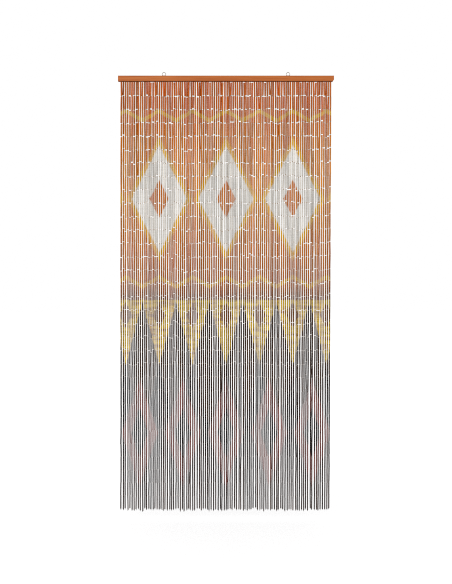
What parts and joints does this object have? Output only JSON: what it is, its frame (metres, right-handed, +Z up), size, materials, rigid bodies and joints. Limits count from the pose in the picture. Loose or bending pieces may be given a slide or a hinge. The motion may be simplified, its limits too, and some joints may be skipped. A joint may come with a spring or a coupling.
{
  "type": "bamboo strand door curtain with a wooden hanging rail",
  "caption": "Door curtain of painted bamboo tube strands linked by wire, hung from a stained wooden rail with screw eyes; people walk through it.",
  "frame": {"origin": "midway between the two screw eyes, at the height where a hook bears inside their rings, in the middle of the rail's depth", "axes": "+X along the rail to the right as seen from the front, the front faces -Y, +Z up along the strands"},
  "size_m": [1, 0.016, 2.0432],
  "materials": {
    "stained_rail": "orange-brown stain and satin varnish",
    "steel_wire": "zinc plated, bright",
    "painted_bamboo": "hand painted, matt, grain showing through"
  },
  "bodies": {
    "root": {"rail": "stained_rail", "screw_eye_left": "steel_wire", "screw_eye_right": "steel_wire", "strands": "painted_bamboo"}
  },
  "joints": []
}
